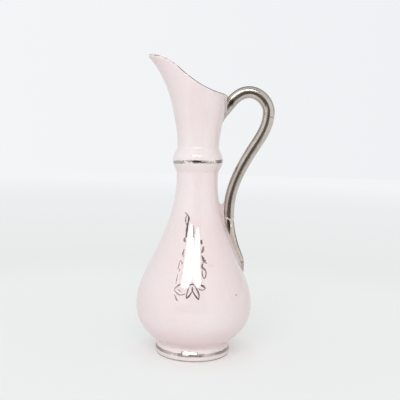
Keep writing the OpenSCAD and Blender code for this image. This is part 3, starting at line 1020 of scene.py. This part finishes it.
def sprig_strokes():
    """Width of each stroke and the places it passes through, in millimetres from the flower."""
    left_stem = [
        stroke(0.75, (-5.1, 35.5), (-3.6, 34.3), (-2.75, 32.9), (-2.9, 30.8), (-3.3, 28.9)),
        stroke(0.6, (-3.9, 34.2), (-4.4, 32.6), (-4.4, 31), (-3.7, 28.9)),
        stroke(1.05, (-3.2, 30.6), (-3.3, 28), (-3.5, 25.6), (-3.6, 22.8)),
        stroke(0.95, (-4.15, 23), (-4.35, 21.9), (-3.9, 20.7)),
        stroke(0.6, (-4.15, 17.4), (-4.65, 15.3), (-4.4, 13.4)),
        stroke(0.35, (-4.3, 16.9), (-4.8, 15.6), (-5.1, 14.3)),
        stroke(0.4, (-6, 11.9), (-4.9, 10.9), (-4.8, 9.8)),
        stroke(0.4, (-6, 11.7), (-6.45, 9), (-6.75, 7.3)),
        stroke(0.4, (-5.6, 8), (-5.9, 7.2), (-6.2, 6.3)),
        stroke(0.4, (-6.75, 5.2), (-7, 2.9), (-7.3, 0.7)),
    ]
    flower = [
        stroke(0.5, (-8, -2), (-6.5, -0.35), (-4.7, 0.8)),
        stroke(0.5, (-8, -2.1), (-6.5, -3.45), (-4.5, -4.25), (-1.9, -3.5)),
        stroke(0.3, (-6, -1.7), (-5, -2.4), (-3.8, -3.2)),
        stroke(0.6, (-7.6, -4.2), (-6.8, -5.8), (-5.8, -7.4)),
        stroke(0.5, (-0.5, 0.1), (1, 1.1), (2.4, 0.5)),
        stroke(0.5, (-0.3, -0.1), (-1.2, -2.9), (-1.5, -5.8)),
        stroke(0.6, (1.4, -2), (0.1, -4.2), (-1.5, -5.9)),
        stroke(0.6, (1.4, -2), (3, -4.3), (4.8, -6.2)),
        stroke(0.6, (2.3, 0.4), (3.9, -1.9), (4.75, -3.7), (4.8, -6.2)),
        stroke(0.75, (1.25, -0.1), (1.3, -1.2), (1.4, -2.3)),
        stroke(0.75, (4.9, 0.9), (6.7, 0.2), (8, -1)),
        stroke(0.45, (4, -0.7), (6, -1.6), (7.9, -1.1)),
    ]
    middle_stem = [
        stroke(0.45, (0.3, 3.4), (1.1, 9), (0.5, 15), (0.2, 21), (0.3, 25.5), (-0.1, 29.4)),
        stroke(0.4, (1.3, 9.6), (2.6, 10.4), (3.1, 12.6)),
        stroke(0.4, (1.5, 10), (2, 11.6), (3, 12.7)),
        stroke(0.4, (0, 18.4), (1.2, 19.2), (1.7, 21.2)),
        stroke(0.4, (0.1, 18.9), (0.7, 20.4), (1.6, 21.3)),
    ]
    right_stem = [
        stroke(1.05, (4.25, 22.1), (4.5, 21), (4.7, 19.9)),
        stroke(0.9, (5.6, 19.1), (5.5, 17.3), (4.9, 15.8)),
        stroke(0.95, (5, 14.6), (6, 12.7), (6.3, 11.3)),
        stroke(0.7, (6, 11.5), (6.8, 11.85), (7.5, 12.4)),
        stroke(0.55, (6, 11.9), (7.1, 11.3), (8, 10.7)),
        stroke(0.8, (6.1, 11.5), (5.55, 9.7), (5.9, 8.7), (7.15, 7.7), (7.75, 6.4), (7.6, 4.75), (6.9, 3.5)),
        stroke(0.45, (5.75, 7.6), (5.9, 5.5), (6.95, 3.5)),
    ]
    return left_stem + flower + middle_stem + right_stem


def make_sprig():
    piece("sprig_lustre", "sprig", "platinum_line", stroke_lustre, *shells(sprig_strokes()), sharp=18)


make_body()
make_foot()
make_neck()
make_handle()
make_tail()
make_tail_strokes()
make_upper_slip()
make_lower_slip()
make_band("neck_lustre", "neck_band", neck_lustre, neck_band, body_r, 0.16, tilt=0.8)
make_band("foot_lustre", "foot_band", foot_lustre, foot_band, foot_side, 0.12, spot=1)
make_rim_line()
make_sprig()


# Studio

white = (0.896, 0.913, 0.930)
white_right = (0.866, 0.884, 0.901)
cool_left = (1.015, 1.065, 1.08)
warm_right = (1.005, 0.93, 0.91)
soft_light = 0.648
paper_lit = (0.95, 0.94, 0.93)
paper_seen = (0.955, 0.965, 0.957)
room_dark = (0.115, 0.086, 0.07)
card_dim = (0.6, 0.59, 0.58)
card_grey = (0.37, 0.36, 0.35)
floor_half = 3

# The floor's glow by distance, the range that it covers and the ranges over which it fades in, in metres; near the
# jug the glow lightens the jug's shadow on the floor as painted light
glow_stops = [(0, (0.85, 0.885, 0.88)), (0.06, (0.82, 0.834, 0.83)), (0.5, (0.837, 0.857, 0.871)), (1, white)]
glow_range = (0.2, 2)
fade_wide, shadow_lift_close = (0.03, 0.4), (0.021, 0.038)


def flat(name, corners, material):
    """A stage sheet of four-cornered faces, with their corners one after another in metres."""
    mesh = bpy.data.meshes.new(name)
    mesh.from_pydata(corners, [], [tuple(range(i, i + 4)) for i in range(0, len(corners), 4)])
    mesh.materials.append(material)
    made = bpy.data.objects.new(name, mesh)
    bpy.context.collection.objects.link(made)
    return made


def seen_ray(tree):
    """One for rays from the camera and for gloss, nought for soft light."""
    path = add(tree, "ShaderNodeLightPath")
    return maths(tree, "MAXIMUM", path.outputs["Is Camera Ray"], path.outputs["Is Glossy Ray"])


def show(tree, surface):
    """Puts a shader in the place of a material's own."""
    tree.links.new(surface.outputs[0], tree.nodes["Material Output"].inputs["Surface"])


def glow(tree, colour):
    return add(tree, "ShaderNodeEmission", {"Color": colour, "Strength": 1.0})


def floor_material():
    """Pale paper that turns into the background's white with distance, and near the jug partly glows, which paints
    light into the jug's shadow.
    """
    material, tree, where, bsdf = shader("paper")
    seen = seen_ray(tree)
    paper = blend(tree, seen, paper_lit, paper_seen)
    tree.links.new(paper, bsdf.inputs["Base Color"])
    bsdf.inputs["Roughness"].default_value = 0.9
    bsdf.inputs["Specular IOR Level"].default_value = 0.1
    far = add(tree, "ShaderNodeVectorMath", {0: where}, operation="LENGTH").outputs["Value"]
    glow_colour = ramp(tree, spread(tree, far, *glow_range), glow_stops)
    # The glow's share near the jug is painted light that lightens the jug's shadow
    fade = maths(tree, "ADD", spread(tree, far, *fade_wide, 0, 0.5), spread(tree, far, *shadow_lift_close, 0.2, 0.5))
    turn = maths(tree, "MULTIPLY", seen, fade)
    distance = glow(tree, glow_colour)
    show(tree, add(tree, "ShaderNodeMixShader", {0: turn, 1: bsdf.outputs[0], 2: distance.outputs[0]}))
    return material


def card_material(name, colour):
    material, tree, *_ = shader(name)
    show(tree, glow(tree, (*colour, 1)))
    return material


# Height, left and right of the dark figure that stands behind the camera, in metres
figure = [(0.001, -0.24, 0.19), (0.075, -0.2, 0.19), (0.1, -0.08, 0.18), (0.125, -0.03, 0.17),
          (0.145, -0.13, 0.16), (0.18, -0.13, 0.15), (0.24, 0, 0.12)]
figure_y = -0.345
figure_range = 0.3
figure_top = (0.25, 0.23)
left_soft, right_soft = 0.03, 0.02


def figure_material():
    """The dark figure of the photographer in front of white, with soft edges."""
    material, tree, where, _ = shader("figure")
    place = add(tree, "ShaderNodeSeparateXYZ", {0: where}).outputs
    # A ramp holds no negative values, so the sides are carried in it from the middle of its range
    middle = 0.5
    line = ramp(tree, spread(tree, place["Z"], 0, figure_range),
                [(up / figure_range, (middle + left, middle + right, 0)) for up, left, right in figure])
    sides = add(tree, "ShaderNodeSeparateColor", {0: line})
    across = maths(tree, "ADD", place["X"], middle)
    from_left = spread(tree, maths(tree, "SUBTRACT", across, sides.outputs[0]), -left_soft, left_soft)
    from_right = spread(tree, maths(tree, "SUBTRACT", sides.outputs[1], across), -right_soft, right_soft)
    between = maths(tree, "MULTIPLY", from_left, from_right)
    inside = maths(tree, "MULTIPLY", between, spread(tree, place["Z"], *figure_top))
    show(tree, glow(tree, blend(tree, inside, white, room_dark)))
    return material


def aim(turn, rise):
    """Direction from the jug, by its turn to the right of the front and its rise, in degrees."""
    a, e = math.radians(turn), math.radians(rise)
    return Vector((math.sin(a) * math.cos(e), -math.cos(a) * math.cos(e), math.sin(e)))


jug_middle = Vector((0, 0, 60 * MM))
window_far = 2.0
window_glow = 6.2

# Lower edge of the window behind its sill, the rise from which the sill's card starts, and the corners of the card
# above the window, as turns and rises in degrees
sill = [(-40, 28), (-37.5, 29), (-37.49, 44), (-31.3, 44), (-31, 32), (-29, 29.6), (-24, 29),
        (-18, 29.3), (-13, 30.3), (-10, 33), (-4.7, 37), (1.5, 33.5), (4, 31.6), (9, 31), (15, 31.6),
        (17, 34), (17.2, 44), (23.5, 44), (23.51, 29), (28, 28)]
sill_low = 25
above_window = [(-14, 43), (40, 43), (40, 58), (-14, 58)]
sill_far = 0.95 * window_far
above_far = 1.9 * window_far


def flag(name, corners, material):
    """A card that only gloss sees, as a photographer sets round a shiny object."""
    card = flat(name, corners, material)
    card.visible_camera = False
    card.visible_diffuse = False
    card.visible_shadow = False
    card.visible_transmission = False


def make_stage():
    """The floor and the cards, with the corners of the plain ones in metres."""
    flat("floor", [(x * floor_half, y * floor_half, 0) for x, y in ((-1, -1), (1, -1), (1, 1), (-1, 1))],
         floor_material())
    dark = card_material("dark_card", room_dark)
    rows = [((lo[1] - left_soft, lo[0]), (lo[2] + right_soft, lo[0]),
             (hi[2] + right_soft, hi[0]), (hi[1] - left_soft, hi[0])) for lo, hi in zip(figure, figure[1:])]
    flag("front_flag", [(x, figure_y, z) for row in rows for x, z in row], figure_material())
    mat_half, mat_end, mat_z = 0.3, -0.26, 0.0005
    flag("mat_flag", [(-mat_half, figure_y, mat_z), (mat_half, figure_y, mat_z),
                      (mat_half, mat_end, mat_z), (-mat_half, mat_end, mat_z)], dark)
    strips = [way for lo, hi in zip(sill, sill[1:]) for way in ((lo[0], sill_low), (hi[0], sill_low), hi, lo)]
    flag("window_flag", [jug_middle + aim(*way) * sill_far for way in strips], dark)
    flag("upper_flag", [jug_middle + aim(*way) * above_far for way in above_window], dark)
    flag("right_flag", [(1.6, -0.3, 0.2), (1.6, 1.6, 0.2), (1.2, 1.6, 2.4), (1.2, -0.7, 2.4)],
         card_material("dim_card", card_dim))
    flag("back_flag", [(-3, 0.1, 2.5), (3, 0.1, 2.5), (3, 3.2, 1.6), (-3, 3.2, 1.6)],
         card_material("grey_card", card_grey))


def make_world():
    """White to the camera and to gloss, and a softer light on the object, cool on the left and warm on the right."""
    world = bpy.data.worlds.new("studio")
    world.use_nodes = True
    tree = world.node_tree
    tree.nodes.clear()
    way = add(tree, "ShaderNodeSeparateXYZ", {0: add(tree, "ShaderNodeTexCoord").outputs["Generated"]})
    tint = ramp(tree, spread(tree, way.outputs["X"], -1, 1), [(0, cool_left), (1, warm_right)])
    soft = add(tree, "ShaderNodeBackground", {"Color": tint, "Strength": soft_light})
    paper = ramp(tree, spread(tree, way.outputs["X"], -0.3, 0.3), [(0, white), (1, white_right)])
    clear = add(tree, "ShaderNodeBackground", {"Color": paper, "Strength": 1.0})
    both = add(tree, "ShaderNodeMixShader", {0: seen_ray(tree), 1: soft.outputs[0], 2: clear.outputs[0]})
    add(tree, "ShaderNodeOutputWorld", {"Surface": both.outputs[0]})
    bpy.context.scene.world = world


def make_window(turn_lo, turn_hi, rise_lo, rise_hi):
    """A rectangular lamp that fills a range of directions seen from the middle of the jug."""
    way = aim((turn_lo + turn_hi) / 2, (rise_lo + rise_hi) / 2)
    level = math.cos(math.radians((rise_lo + rise_hi) / 2))
    lamp = bpy.data.lights.new("window", "AREA")
    lamp.shape = "RECTANGLE"
    lamp.size = 2 * window_far * math.tan(math.radians(turn_hi - turn_lo) / 2) * level
    lamp.size_y = 2 * window_far * math.tan(math.radians(rise_hi - rise_lo) / 2)
    lamp.energy = window_glow * math.pi * lamp.size * lamp.size_y
    made = bpy.data.objects.new("window", lamp)
    made.location = jug_middle + way * window_far
    made.rotation_euler = (-way).to_track_quat("-Z", "Y").to_euler()
    bpy.context.collection.objects.link(made)


# The camera, with its place in millimetres and its angles in degrees
camera_place = (1.8, -325, 107.2)
camera_pitch = 4.3
camera_roll = 1.75
camera_lens = 54.45
camera_sensor = 36


def make_camera():
    """The photograph's view, a little above the middle of the jug and rolled by a degree or two."""
    pitch, roll = math.radians(camera_pitch), math.radians(camera_roll)
    ahead = Vector((0, math.cos(pitch), -math.sin(pitch)))
    right = Vector((1, 0, 0))
    up = right.cross(ahead)
    across = right * math.cos(roll) + up * math.sin(roll)
    rise = up * math.cos(roll) - right * math.sin(roll)
    lens = bpy.data.cameras.new("camera")
    lens.sensor_width = camera_sensor
    lens.lens = camera_lens
    lens.clip_start = 0.01
    made = bpy.data.objects.new("camera", lens)
    turn = Matrix((across, rise, -ahead)).transposed().to_4x4()
    made.matrix_world = Matrix.Translation(metres(camera_place)) @ turn
    bpy.context.collection.objects.link(made)
    bpy.context.scene.camera = made


make_stage()
make_world()
make_window(turn_lo=-34, turn_hi=20, rise_lo=26.5, rise_hi=41)
make_camera()
bpy.context.scene.view_settings.view_transform = "Standard"
